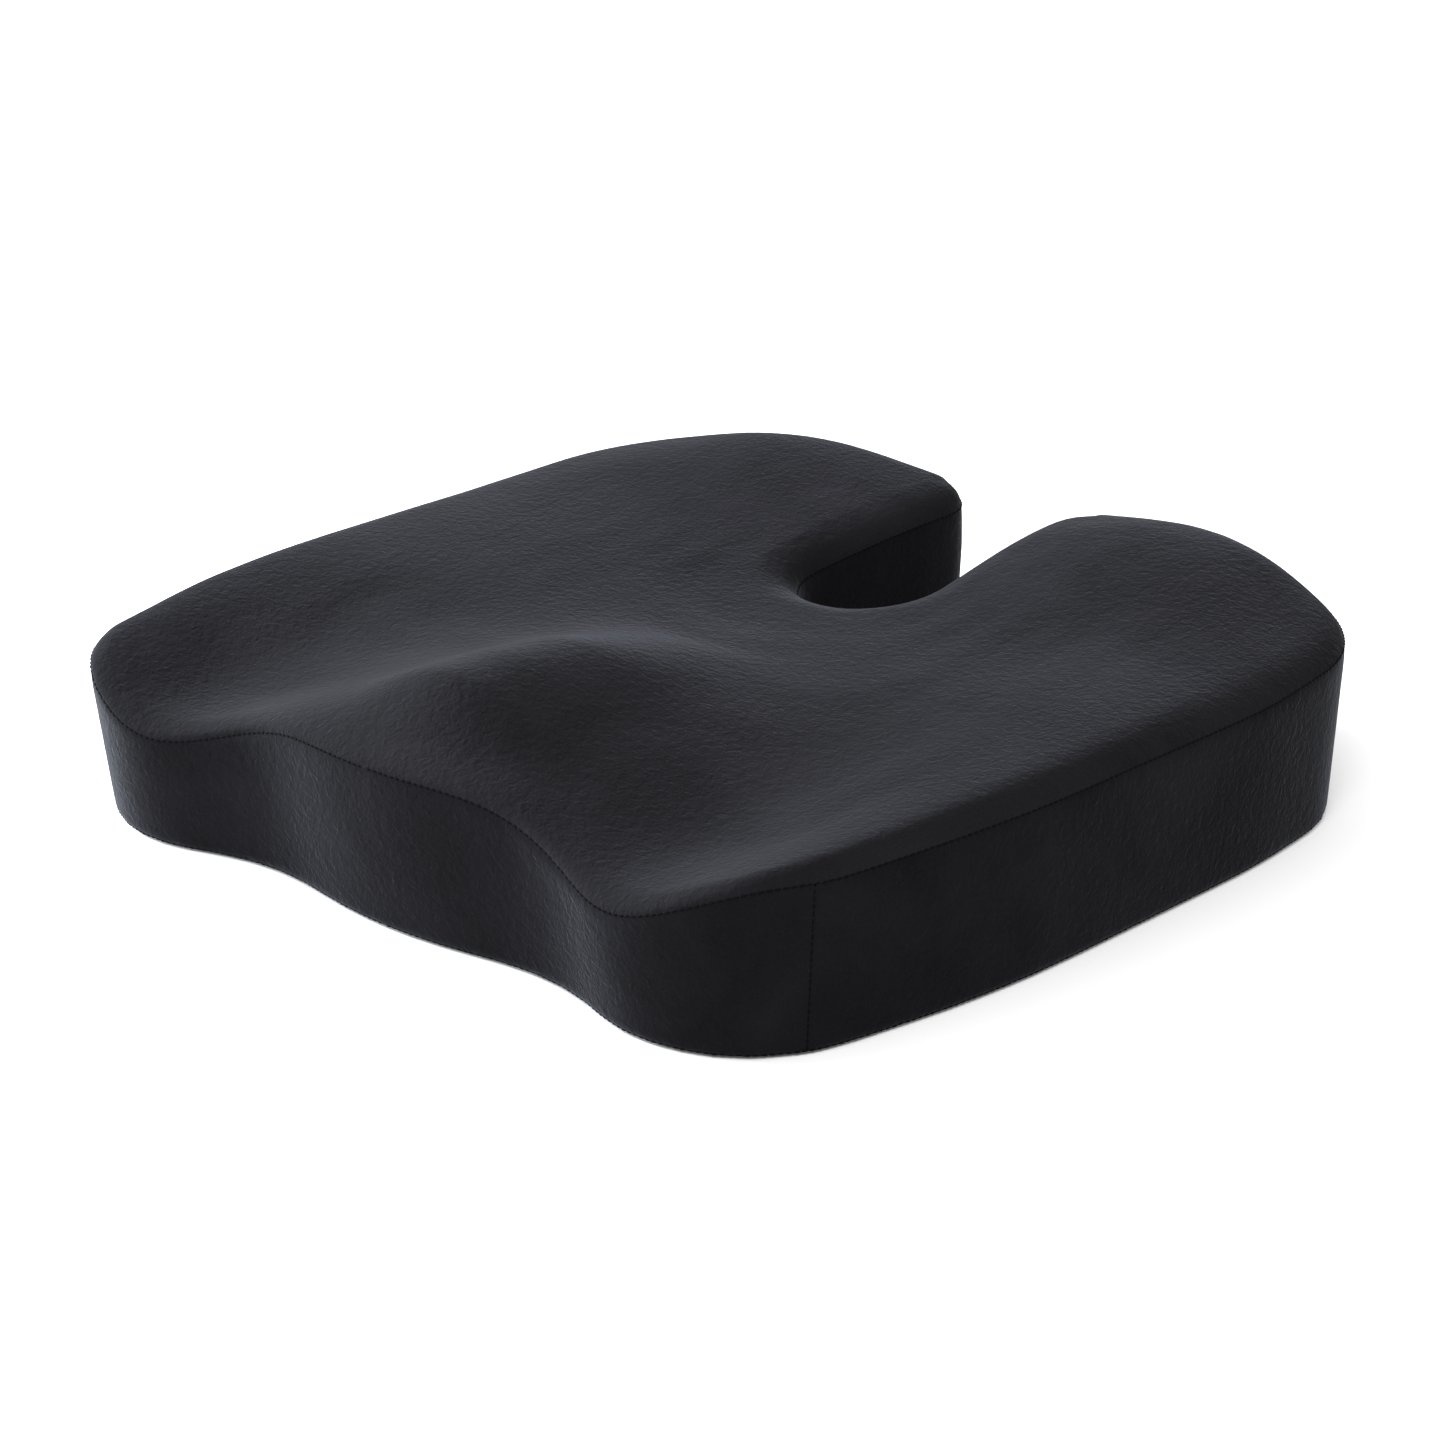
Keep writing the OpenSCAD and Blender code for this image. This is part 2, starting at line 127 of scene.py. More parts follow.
# Simulation
SIM_FRAMES = 20
PRESSURE = 4
SWELL = 2.2             # how far the cover may swell
SWELL_ROUNDS = 40       # rounds that even the swelling out

# Zip opening in the left band, in millimetres
ZIP_HALF = 110
ZIP_BELOW, ZIP_LOW, ZIP_HIGH, ZIP_ABOVE = 6, 9, 25, 29
ZIP_TAPE_DEPTH = 2.0
ZIP_FACE_REACH = 25     # how far from the band's face a place still belongs to the zip
ZIP_HEM = 2.6           # the stitching runs this far from the opening
FABRIC = 1.2            # thickness of the band round the opening

# Foam
FOAM_INSET = 4.0
FOAM_ZIP_INSET = 8.0
FOAM_ZIP_TOP = 36       # the foam gives way to the zip up to this height

# Stitches
STITCH_PITCH = 3.0
STITCH_LENGTH = 2.2
STITCH_PARTS = 6        # parts of one pitch; the last one is the gap
STITCH_SIDES = 6
STITCH_LIFT = 0.35
STITCH_SINK = 0.4       # share of the lift by which a strand's ends sink in
THREAD_RADIUS = 0.32
UPRIGHT_THREAD_RADIUS = 0.28

# Base
BASE_LIFT = 0.9         # the base fabric stands on its grip dots
DOT_PITCH = 11
DOT_RADIUS = 1.8
DOT_MARGIN = 13
DOT_SIDES = 10
DOT_PROFILE = ((1.0, BASE_LIFT + 0.3), (1.0, BASE_LIFT * 0.6), (0.82, BASE_LIFT * 0.2), (0.45, 0.02))


# ---- Camera, light and floor ----
def unit(v):
    return v / np.linalg.norm(v)


def outward(azimuth, elevation):
    """The direction from the cushion towards a place round it, as the views name it."""
    a, e = math.radians(azimuth), math.radians(elevation)
    return Vector((math.sin(a) * math.cos(e), -math.cos(a) * math.cos(e), math.sin(e)))


def add_camera():
    a = math.radians(VIEW_AZIMUTH)
    back = outward(VIEW_AZIMUTH, VIEW_ELEVATION)
    right = Vector((math.cos(a), math.sin(a), 0))
    up = back.cross(right)
    place = Vector(VIEW_TARGET) + back * VIEW_DISTANCE - right * VIEW_SHIFT[0] - up * VIEW_SHIFT[1]
    data = bpy.data.cameras.new("camera")
    data.sensor_width = SENSOR
    data.lens = LENS
    data.clip_start = 0.01
    camera = bpy.data.objects.new("camera", data)
    turn = Matrix((right, up, back)).transposed()
    camera.matrix_world = Matrix.Translation(place * MM) @ turn.to_4x4()
    bpy.context.scene.collection.objects.link(camera)
    bpy.context.scene.camera = camera


def add_lights():
    for name, (azimuth, elevation, power, colour) in LIGHTS.items():
        data = bpy.data.lights.new(name, "AREA")
        data.shape = "DISK"
        data.size = LIGHT_SIZE
        data.energy = power
        data.color = colour
        lamp = bpy.data.objects.new(name, data)
        place = outward(azimuth, elevation) * LIGHT_DISTANCE
        aim = Vector(LIGHT_AIM) - place
        turn = aim.to_track_quat("-Z", "Y").to_matrix().to_4x4()
        lamp.matrix_world = Matrix.Translation(place) @ turn
        bpy.context.scene.collection.objects.link(lamp)
    world = bpy.data.worlds.new("studio")
    world.use_nodes = True
    sky = world.node_tree.nodes["Background"]
    sky.inputs["Color"].default_value = (1, 1, 1, 1)
    sky.inputs["Strength"].default_value = 1.0
    bpy.context.scene.world = world
    bpy.context.scene.view_settings.view_transform = "Standard"


def add_floor():
    corners = [(x * FLOOR_HALF, y * FLOOR_HALF, 0) for x, y in ((-1, -1), (1, -1), (1, 1), (-1, 1))]
    mesh = bpy.data.meshes.new("floor")
    mesh.from_pydata(corners, [], [(0, 1, 2, 3)])
    floor = bpy.data.objects.new("floor", mesh)
    bpy.context.scene.collection.objects.link(floor)
    made, _, _, shader = new_material("floor_paint")
    shader.inputs["Base Color"].default_value = (0.93, 0.93, 0.93, 1)
    shader.inputs["Roughness"].default_value = 0.9
    shader.inputs["Specular IOR Level"].default_value = 0.1
    mesh.materials.append(made)


# ---- Materials ----
def new_material(name):
    made = bpy.data.materials.new(name)
    made.use_nodes = True
    nodes, links = made.node_tree.nodes, made.node_tree.links
    return made, nodes, links, nodes["Principled BSDF"]


def noise(nodes, links, space, scale, detail=2.0, roughness=0.5, distortion=0.0):
    node = nodes.new("ShaderNodeTexNoise")
    node.inputs["Scale"].default_value = scale
    node.inputs["Detail"].default_value = detail
    node.inputs["Roughness"].default_value = roughness
    node.inputs["Distortion"].default_value = distortion
    links.new(space, node.inputs["Vector"])
    return node.outputs["Fac"]


def maths(nodes, links, operation, *values):
    node = nodes.new("ShaderNodeMath")
    node.operation = operation
    for socket, value in zip(node.inputs, values):
        if isinstance(value, (int, float)):
            socket.default_value = value
        else:
            links.new(value, socket)
    return node.outputs[0]


def ramp(nodes, links, fac, stops):
    node = nodes.new("ShaderNodeValToRGB")
    elements = node.color_ramp.elements
    while len(elements) < len(stops):
        elements.new(0.5)
    for element, (place, colour) in zip(elements, stops):
        element.position = place
        element.color = (*colour, 1)
    links.new(fac, node.inputs["Fac"])
    return node.outputs["Color"]


def bump(nodes, links, height, distance, before=None):
    node = nodes.new("ShaderNodeBump")
    node.inputs["Distance"].default_value = distance
    links.new(height, node.inputs["Height"])
    if before is not None:
        links.new(before, node.inputs["Normal"])
    return node.outputs["Normal"]


def object_space(nodes):
    return nodes.new("ShaderNodeTexCoord").outputs["Object"]


def pile_material(name, colour, crinkle, patch, sheen):
    """Short velour pile: a dark patchy ground, a pale sheen at grazing angles, fine crinkles."""
    made, nodes, links, shader = new_material(name)
    space = object_space(nodes)
    brushed = noise(nodes, links, space, patch, 3.0, 0.55, 0.6)
    fibre = noise(nodes, links, space, 1100, 3.0, 0.6)
    mixed = maths(nodes, links, "ADD", maths(nodes, links, "MULTIPLY", brushed, 0.65),
                  maths(nodes, links, "MULTIPLY", fibre, 0.35))
    dark = tuple(c * 0.62 for c in colour)
    light = tuple(c * 1.38 for c in colour)
    links.new(ramp(nodes, links, mixed, [(0.36, dark), (0.64, light)]), shader.inputs["Base Color"])
    crinkles = noise(nodes, links, space, 260, 2.5, 0.55, 0.5)
    tufts = noise(nodes, links, space, 700, 2.0, 0.5, 0.6)
    soft = bump(nodes, links, crinkles, crinkle * MM)
    fine = bump(nodes, links, tufts, crinkle * 0.45 * MM, before=soft)
    links.new(fine, shader.inputs["Normal"])
    shader.inputs["Roughness"].default_value = 0.9
    shader.inputs["Specular IOR Level"].default_value = 0.05
    shader.inputs["Sheen Weight"].default_value = sheen
    shader.inputs["Sheen Roughness"].default_value = 0.3
    shader.inputs["Sheen Tint"].default_value = (0.82, 0.86, 1.0, 1)
    return made


def woven_material(name, colour, pitch):
    """Plain weave in object space: crossing waves of yarn."""
    made, nodes, links, shader = new_material(name)
    space = object_space(nodes)
    waves = []
    for direction in ("X", "Y"):
        node = nodes.new("ShaderNodeTexWave")
        node.bands_direction = direction
        node.inputs["Scale"].default_value = math.pi / (10 * pitch * MM)
        node.inputs["Distortion"].default_value = 0.4
        links.new(space, node.inputs["Vector"])
        waves.append(node.outputs["Fac"])
    weave = maths(nodes, links, "MULTIPLY", waves[0], waves[1])
    speck = noise(nodes, links, space, 400, 2.0)
    tone = maths(nodes, links, "ADD", maths(nodes, links, "MULTIPLY", weave, 0.6),
                 maths(nodes, links, "MULTIPLY", speck, 0.4))
    low = tuple(c * 0.55 for c in colour)
    high = tuple(c * 1.5 for c in colour)
    links.new(ramp(nodes, links, tone, [(0.15, low), (0.75, high)]), shader.inputs["Base Color"])
    links.new(bump(nodes, links, weave, 0.25 * MM), shader.inputs["Normal"])
    shader.inputs["Roughness"].default_value = 0.8
    shader.inputs["Specular IOR Level"].default_value = 0.06
    shader.inputs["Sheen Weight"].default_value = 0.15
    return made


def plain_material(name, colour, roughness, metal, grain, depth, gloss=0.5):
    """Enamel, rubber or thread: one colour with a little wear and grain."""
    made, nodes, links, shader = new_material(name)
    space = object_space(nodes)
    wear = noise(nodes, links, space, grain, 4.0, 0.6)
    low = tuple(c * 0.75 for c in colour)
    high = tuple(min(1, c * 1.35) for c in colour)
    links.new(ramp(nodes, links, wear, [(0.3, low), (0.7, high)]), shader.inputs["Base Color"])
    rough = maths(nodes, links, "MULTIPLY_ADD", wear, 0.25, roughness - 0.12)
    links.new(rough, shader.inputs["Roughness"])
    links.new(bump(nodes, links, wear, depth * MM), shader.inputs["Normal"])
    shader.inputs["Metallic"].default_value = metal
    shader.inputs["Specular IOR Level"].default_value = gloss
    return made


def foam_material():
    made, nodes, links, shader = new_material("memory_foam")
    space = object_space(nodes)
    cells = nodes.new("ShaderNodeTexVoronoi")
    cells.inputs["Scale"].default_value = 450
    links.new(space, cells.inputs["Vector"])
    depth = cells.outputs["Distance"]
    tone = ramp(nodes, links, depth, [(0.1, (0.55, 0.5, 0.4)), (0.6, (0.78, 0.73, 0.62))])
    links.new(tone, shader.inputs["Base Color"])
    links.new(bump(nodes, links, depth, 0.4 * MM), shader.inputs["Normal"])
    shader.inputs["Roughness"].default_value = 0.9
    shader.inputs["Subsurface Weight"].default_value = 0.1
    return made


# ---- Reading shapes off the CAD nodes ----
def node_points(frame, name):
    return np.array([v.co for v in frame["nodes"][name].data.vertices]) / MM


def cad_tree(frame, names):
    points, faces = [], []
    for name in names:
        mesh = frame["nodes"][name].data
        first = len(points)
        points += [tuple(v.co / MM) for v in mesh.vertices]
        faces += [tuple(i + first for i in p.vertices) for p in mesh.polygons]
    return BVHTree.FromPolygons(points, faces)


def seam_loop(frame):
    """The middle line of the CAD's top seam, in order round the cushion from the front middle."""
    points = node_points(frame, "top_seam")
    left = np.arange(len(points))
    centres = []
    while len(left):
        near = np.linalg.norm(points[left] - points[left[0]], axis=1) < SEAM_REACH
        centres.append(np.unique(points[left[near]].round(3), axis=0).mean(0))
        left = left[~near]
    centres = np.array(centres)
    front = abs(centres[:, 0]) + (centres[:, 1] - centres[:, 1].min()) * 0.5
    order = [int(np.argmin(front))]
    free = set(range(len(centres))) - set(order)
    ahead = np.array([2.0, 0, 0])
    while free:
        goal = centres[order[-1]] + ahead
        order.append(min(free, key=lambda i: np.linalg.norm(centres[i] - goal)))
        free.discard(order[-1])
        ahead = 2 * unit(centres[order[-1]] - centres[order[-2]])
    return centres[order]


def along(loop, t):
    """A place on a smooth closed curve through the loop's points, t in steps."""
    k = math.floor(t)
    s = t - k
    a, b, c, d = (loop[(k + i) % len(loop)] for i in (-1, 0, 1, 2))
    return b + 0.5 * s * (c - a + s * (2 * a - 5 * b + 4 * c - d + s * (3 * (b - c) + d - a)))


def principal(points):
    """The direction in which the points spread most."""
    return np.linalg.eigh(points.T @ points)[1][:, -1]


class ZipLine:
    """Where the zip runs: its middle on the band's face, its direction and the way out of the wall."""

    def __init__(self, frame):
        tape = node_points(frame, "zip_tape_upper")
        middle = (tape.min(0) + tape.max(0)) / 2
        flat = tape - middle
        flat[:, 2] = 0
        self.axis = unit(principal(flat))
        if self.axis[1] < 0:
            self.axis = -self.axis
        self.out = np.array([-self.axis[1], self.axis[0], 0])
        self.middle = middle + self.out * ZIP_TAPE_DEPTH

    def place(self, point):
        """How far along the zip a point is, from the middle."""
        return float((point - self.middle)[:2] @ self.axis[:2])

    def near(self, point, margin):
        on_left_side = point[0] < -0.3 * abs(self.middle[0])
        beside = abs((point - self.middle)[:2] @ self.out[:2]) < ZIP_FACE_REACH
        return on_left_side and beside and abs(self.place(point)) < ZIP_HALF + margin


def column_places(loop, zip_line):
    """The columns' places in CAD steps: three drawn together at each upright seam, and one at each
    end of the zip opening."""
    places = [k / REFINE for k in range(COLUMNS)]
    for seam in UPRIGHT_SEAMS:
        middle = round(seam * REFINE)
        for side in (-1, 0, 1):
            places[middle + side] = seam + side * VALLEY_STEP
    for end in (-ZIP_HALF, ZIP_HALF):
        beside = [k for k in range(COLUMNS) if zip_line.near(along(loop, places[k]), 20)]
        k = min(beside, key=lambda k: abs(zip_line.place(along(loop, places[k])) - end))
        here, after = (zip_line.place(along(loop, places[k] + d)) for d in (0, 0.1))
        places[k] += 0.1 * (end - here) / (after - here)
    return np.array(places)


def is_inside(edge, x, y):
    a, b = edge, np.roll(edge, -1, 0)
    cross = ((a[:, 1] > y) != (b[:, 1] > y)) & (
        x < (b[:, 0] - a[:, 0]) * (y - a[:, 1]) / (b[:, 1] - a[:, 1] + 1e-12) + a[:, 0])
    return bool(np.count_nonzero(cross) % 2)


def filled(edge, lattice):
    """A square lattice inside a closed line, joined to the line's own points: the lattice's points,
    and faces whose numbers below len(edge) are the line's."""
    inside = [
        (x, y)
        for x in np.arange(edge[:, 0].min() + lattice / 2, edge[:, 0].max(), lattice)
        for y in np.arange(edge[:, 1].min() + lattice / 2, edge[:, 1].max(), lattice)
        if is_inside(edge, x, y) and np.hypot(*(edge - (x, y)).T).min() > 0.7 * lattice]
    count = len(edge)
    sides = [(k, (k + 1) % count) for k in range(count)]
    points = [Vector(p) for p in edge.tolist() + inside]
    made = delaunay_2d_cdt(points, sides, [], 1, 1e-5)
    back = {new: old[0] for new, old in enumerate(made[3])}
    return np.array(inside), [tuple(back[i] for i in face) for face in made[2]]


# ---- The cover's grid ----
class Shell:
    """Rings of columns up the wall and over its edge, and a filled cap above and below."""

    def __init__(self, frame):
        walls = [n for n in frame["nodes"] if n.endswith(("_band", "_seam"))] + ["base_panel"]
        self.walls = cad_tree(frame, walls)
        self.top = cad_tree(frame, ["top_panel"])
        self.zip = ZipLine(frame)
        loop = seam_loop(frame)
        self.places = column_places(loop, self.zip)
        self.seam = np.array([along(loop, t) for t in self.places])
        steps = np.array([along(loop, t + 0.3) - along(loop, t - 0.3) for t in self.places])
        self.inward = np.array([unit(np.array([-s[1], s[0], 0])) for s in steps])
        self.valleys = np.array([min(abs(t - s) for s in UPRIGHT_SEAMS) < 1e-6 for t in self.places])
        rings = self.wall_rings()
        self.seam_ring = len(rings)
        edge = self.seam - self.inward * SEAM_DEPTH
        rings.append(edge + self.inward * VALLEY)
        rings += [self.dropped(edge + self.inward * d) for d in CROWN]
        self.rings = len(rings)
        self.points = np.vstack(rings)
        self.faces, self.kinds = [], []     # a kind is the face's part of the shell, row and column
        for r in range(self.rings - 1):
            self.join(r * COLUMNS, (r + 1) * COLUMNS, "wall" if r < self.seam_ring else "top", r)
        self.add_cap(rings[-1], (self.rings - 1) * COLUMNS, SEAT_LATTICE, "top")
        self.base_edge = rings[0] + self.inward * BASE_EDGE
        self.base_edge[:, 2] = BASE_LIFT
        first = len(self.points)
        self.points = np.vstack([self.points, self.base_edge])
        self.join(first, 0, "base", 0)
        self.add_cap(self.base_edge, first, BASE_LATTICE, "base")

    def join(self, low, high, kind, row):
        """Faces between two rings, given by the numbers of their first points."""
        for k in range(COLUMNS):
            n = (k + 1) % COLUMNS
            self.faces.append((low + k, low + n, high + n, high + k))
            self.kinds.append((kind, row, k))

    def add_cap(self, ring, first, lattice, kind):
        """Fill a ring whose first point has the number `first`."""
        inside, faces = filled(ring[:, :2], lattice)
        flat = np.column_stack([inside, np.full(len(inside), BASE_LIFT)])
        start = len(self.points) - COLUMNS
        self.points = np.vstack([self.points, flat if kind == "base" else self.dropped(flat)])
        for face in faces:
            corners = tuple(first + i if i < COLUMNS else start + i for i in face)
            self.faces.append(corners[::-1] if kind == "base" else corners)
            self.kinds.append((kind, None, None))

    def wall_hit(self, k, z):
        start = self.seam[k] - self.inward[k] * RAY_START
        start[2] = z
        hit = self.walls.ray_cast(Vector(start), Vector(self.inward[k]), RAY_LENGTH)[0]
        return start if hit is None else np.array(hit)      # a miss is in the zip opening

    def dropped(self, points):
        """The points moved straight down or up onto the top."""
        down = Vector((0, 0, -1))
        starts = [Vector((p[0], p[1], DROP_HEIGHT)) for p in points]
        hits = [self.top.ray_cast(start, down, 2 * DROP_HEIGHT)[0] for start in starts]
        return np.array([p if hit is None else hit for p, hit in zip(points, hits)])

    def wall_rings(self):
        at = {z: np.array([self.wall_hit(k, z) for k in range(COLUMNS)]) for z in LOW_ROWS}
        by_zip = np.array([self.zip.near(p, 8) for p in self.seam])[:, None]
        for z in LOW_ROWS:
            if ZIP_LOW <= z <= ZIP_HIGH:
                share = (z - ZIP_BELOW) / (ZIP_ABOVE - ZIP_BELOW)
                at[z] = np.where(by_zip, at[ZIP_BELOW] * (1 - share) + at[ZIP_ABOVE] * share, at[z])
            if z > BASE_SEAM_Z:
                at[z] = at[z] + self.inward * VALLEY * self.valleys[:, None]
        at[BASE_SEAM_Z] = at[BASE_SEAM_Z] + self.inward * VALLEY
        rings = [at[z] for z in LOW_ROWS]
        reach = self.seam[:, 2] - SEAM_SIDE - LOW_ROWS[-1]
        for share in HIGH_ROWS:
            ring = np.array([self.wall_hit(k, LOW_ROWS[-1] + reach[k] * share) for k in range(COLUMNS)])
            rings.append(ring + self.inward * VALLEY * self.valleys[:, None])
        return rings

    def ring(self, points, r):
        return points[r * COLUMNS:(r + 1) * COLUMNS]

    def sewn(self):
        """The points that the simulation leaves where they are."""
        held = np.zeros(len(self.points), bool)
        held[:SEWN_ROWS * COLUMNS] = True
        caps = slice(self.rings * COLUMNS, None)
        held[caps] |= self.points[caps, 2] < 2 * BASE_LIFT
        held[self.seam_ring * COLUMNS:(self.seam_ring + 1) * COLUMNS] = True
        for r in range(self.seam_ring):
            ring = held[r * COLUMNS:(r + 1) * COLUMNS]
            ring |= self.valleys
            if r < len(LOW_ROWS) - 1:
                ring |= np.array([self.zip.near(p, 3) for p in self.seam])
        return held

    def band_of(self, k):
        turn = CAD_STEPS if k == COLUMNS - 1 else 0
        middle = (self.places[k] + self.places[(k + 1) % COLUMNS] + turn) / 2
        return next(name for name, (start, end) in BANDS.items()
                    if start <= middle < end or start <= middle + CAD_STEPS < end)

    def notch_rim(self):
        """The points about the top edge of the notch, whose rounding is softer."""
        loose = np.zeros(len(self.points), bool)
        inner = (self.places > MOUTH_SEAM + 1) & (self.places < CAD_STEPS - MOUTH_SEAM - 1)
        for r in range(self.seam_ring - 3, self.rings):
            loose[r * COLUMNS:(r + 1) * COLUMNS] = inner
        return loose

    def panel_faces(self, name):
        """The faces that belong to one panel; those in the zip opening belong to none."""
        low = LOW_ROWS.index(BASE_SEAM_Z)
        chosen = []
        for face, (kind, row, k) in zip(self.faces, self.kinds):
            if kind == "wall" and row >= low:
                owner = "zip_opening" if self.in_opening(row, k) else self.band_of(k)
            else:
                owner = {"wall": "base_panel", "base": "base_panel", "top": "top_panel"}[kind]
            if owner == name:
                chosen.append(face)
        return chosen

    def in_opening(self, row, k):
        if row >= len(LOW_ROWS) - 1 or not ZIP_LOW <= LOW_ROWS[row] < ZIP_HIGH:
            return False
        ends = [self.seam[k], self.seam[(k + 1) % COLUMNS]]
        return all(self.zip.near(p, 0.01) for p in ends)


# ---- Meshes ----
def make_object(name, points, faces, material):
    mesh = bpy.data.meshes.new(name)
    mesh.from_pydata([tuple(p * MM) for p in np.asarray(points, float)], [], faces)
    mesh.validate()
    mesh.update()
    for polygon in mesh.polygons:
        polygon.use_smooth = True
    mesh.materials.append(material)
    made = bpy.data.objects.new(name, mesh)
    bpy.context.scene.collection.objects.link(made)
    return made


def relaxed(points, faces, held, rounds, shrinks=False):
    """The points after some rounds of smoothing; the held ones stay. Unless it shrinks, every
    second round grows back what the round before it took away."""
    edges = np.array(sorted({tuple(sorted((f[i - 1], f[i]))) for f in faces for i in range(len(f))}))
    degree = np.bincount(edges.ravel(), minlength=len(points))[:, None]
    for step in range(rounds):
        total = np.zeros_like(points)
        np.add.at(total, edges[:, 0], points[edges[:, 1]])
        np.add.at(total, edges[:, 1], points[edges[:, 0]])
        pull = PULL if shrinks or step % 2 == 0 else PUSH
        points = points + pull * (total / degree - points) * ~held[:, None]
    return points


def swollen(shell, held, material):
    """The cover under a little air pressure, sewn down along its seams."""
    start = shell.points.copy()
    piece = make_object("swelling_cover", start, shell.faces, material)
    pins = piece.vertex_groups.new(name="sewn")
    pins.add([int(i) for i in np.nonzero(held)[0]], 1.0, "REPLACE")
    cloth = piece.modifiers.new("cloth", "CLOTH")
    settings = cloth.settings
    settings.quality = 4
    settings.mass = 0.25
    settings.tension_stiffness = 8
    settings.compression_stiffness = 8
    settings.bending_stiffness = 1.5
    settings.use_pressure = True
    settings.uniform_pressure_force = PRESSURE
    settings.effector_weights.gravity = 0
    settings.vertex_group_mass = "sewn"
    cloth.collision_settings.use_collision = False
    cloth.point_cache.frame_start = 1
    cloth.point_cache.frame_end = SIM_FRAMES
    scene = bpy.context.scene
    for frame_number in range(1, SIM_FRAMES + 1):
        scene.frame_set(frame_number)
    shaped = piece.evaluated_get(bpy.context.evaluated_depsgraph_get()).to_mesh()
    moved = np.array([v.co for v in shaped.vertices]) / MM
    bpy.data.objects.remove(piece)
    scene.frame_set(1)
    shift = relaxed(moved - start, shell.faces, held, SWELL_ROUNDS, shrinks=True)
    far = np.linalg.norm(shift, axis=1)[:, None]
    return start + shift * np.minimum(1, SWELL / np.maximum(far, 1e-6))


def panel(points, name, chosen, material):
    """One panel of the cover, with smooth subdivision and its own points only."""
    used = sorted({i for f in chosen for i in f})
    number = {old: new for new, old in enumerate(used)}
    faces = [tuple(number[i] for i in f) for f in chosen]
    piece = make_object(name, points[used], faces, material)
    subdivide(piece)
    return piece


def subdivide(piece):
    modifier = piece.modifiers.new("smooth", "SUBSURF")
    modifier.levels = SUBDIVISION
    modifier.render_levels = SUBDIVISION
    apply_modifiers(piece)


def apply_modifiers(piece):
    graph = bpy.context.evaluated_depsgraph_get()
    mesh = bpy.data.meshes.new_from_object(piece.evaluated_get(graph))
    piece.modifiers.clear()
    piece.data = mesh
    for polygon in mesh.polygons:
        polygon.use_smooth = True


def thicken(piece, depth):
    modifier = piece.modifiers.new("thickness", "SOLIDIFY")
    modifier.thickness = depth * MM
    modifier.offset = -1
    apply_modifiers(piece)


def tube(line, radius, sides):
    """Points and faces of a round strand along a line, closed at both ends."""
    ahead = np.roll(line, -1, 0) - np.roll(line, 1, 0)
    ahead[0], ahead[-1] = line[1] - line[0], line[-1] - line[-2]
    points, faces = [], []
    for place, way in zip(line, ahead):
        way = unit(way)
        side = unit(np.cross(way, (0, 0, 1) if abs(way[2]) < 0.9 else (1, 0, 0)))
        lift = np.cross(side, way)
        for s in range(sides):
            a = 2 * math.pi * s / sides
            points.append(place + radius * (math.cos(a) * side + math.sin(a) * lift))
    for low in range(0, len(points) - sides, sides):
        for s in range(sides):
            n = (s + 1) % sides
            faces.append((low + s, low + n, low + sides + n, low + sides + s))
    faces.append(tuple(range(sides))[::-1])
    faces.append(tuple(range(len(points) - sides, len(points))))
    return points, faces


def even_line(line, pitch, closed):
    """Points at equal distances on a line."""
    line = np.asarray(line, float)
    if closed:
        line = np.vstack([line, line[:1]])
    lengths = np.concatenate([[0], np.cumsum(np.linalg.norm(np.diff(line, axis=0), axis=1))])
    count = max(2, round(lengths[-1] / pitch))
    places = np.linspace(0, lengths[-1], count + 1)
    if closed:
        places = places[:-1]
    return np.column_stack([np.interp(places, lengths, line[:, i]) for i in range(3)])


def stitches(name, line, material, lift, closed=False, radius=THREAD_RADIUS):
    """Dashes of thread along a line, each a short strand that bows by lift(its middle)."""
    fine = even_line(line, STITCH_PITCH / STITCH_PARTS, closed)
    spread = STITCH_LENGTH / (STITCH_PITCH * (STITCH_PARTS - 2) / STITCH_PARTS)
    points, faces = [], []
    for first in range(0, len(fine) - STITCH_PARTS, STITCH_PARTS):
        strand = fine[first:first + STITCH_PARTS - 1]
        middle = strand.mean(0)
        strand = middle + (strand - middle) * spread
        bow = np.sin(np.linspace(0, math.pi, len(strand)))[:, None]
        out = lift(middle)
        made, sides = tube(strand + bow * out - out * STITCH_SINK, radius, STITCH_SIDES)
        faces += [tuple(i + len(points) for i in side) for side in sides]
        points += made
    return make_object(name, points, faces, material)


def vertex_normals(points, faces):
    total = np.zeros_like(points)
    for face in faces:
        a, b, c = points[face[0]], points[face[1]], points[face[-1]]
        total[list(face)] += unit(np.cross(b - a, c - a) + 1e-12)
    return total / np.linalg.norm(total, axis=1)[:, None]


# ---- Pieces ----
def finish_piece(piece, slot, *nodes):
    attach(piece, "cushion")
    if nodes:
        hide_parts(*nodes)
    return piece


def add_cover(shell, points, materials):
    for name in ("top_panel", *BANDS, "base_panel"):
        kind = "base_fabric" if name == "base_panel" else "pile_fabric"
        # The bands take the darker velour, whose base colour carries painted shade for the walls.
        material = materials[{"top_panel": "seat", "base_panel": "base"}.get(name, "band")]
        piece = panel(points, "cover_" + name, shell.panel_faces(name), material)
        if name == "left_side_band":
            thicken(piece, FABRIC)
        finish_piece(piece, kind, name)


def add_foam(shell, points, materials):
    normals = vertex_normals(points, shell.faces)
    by_zip = np.array([p[2] < FOAM_ZIP_TOP and shell.zip.near(p, 6) for p in points])
    inset = np.where(by_zip, FOAM_ZIP_INSET, FOAM_INSET)[:, None]
    inner = relaxed(points - normals * inset, shell.faces, np.zeros(len(points), bool),
                    FOAM_ROUNDS)
    inner[:, 2] = np.maximum(inner[:, 2], FOAM_INSET)
    piece = make_object("foam_block", inner, shell.faces, materials["foam"])
    finish_piece(piece, "memory_foam", "foam_core")


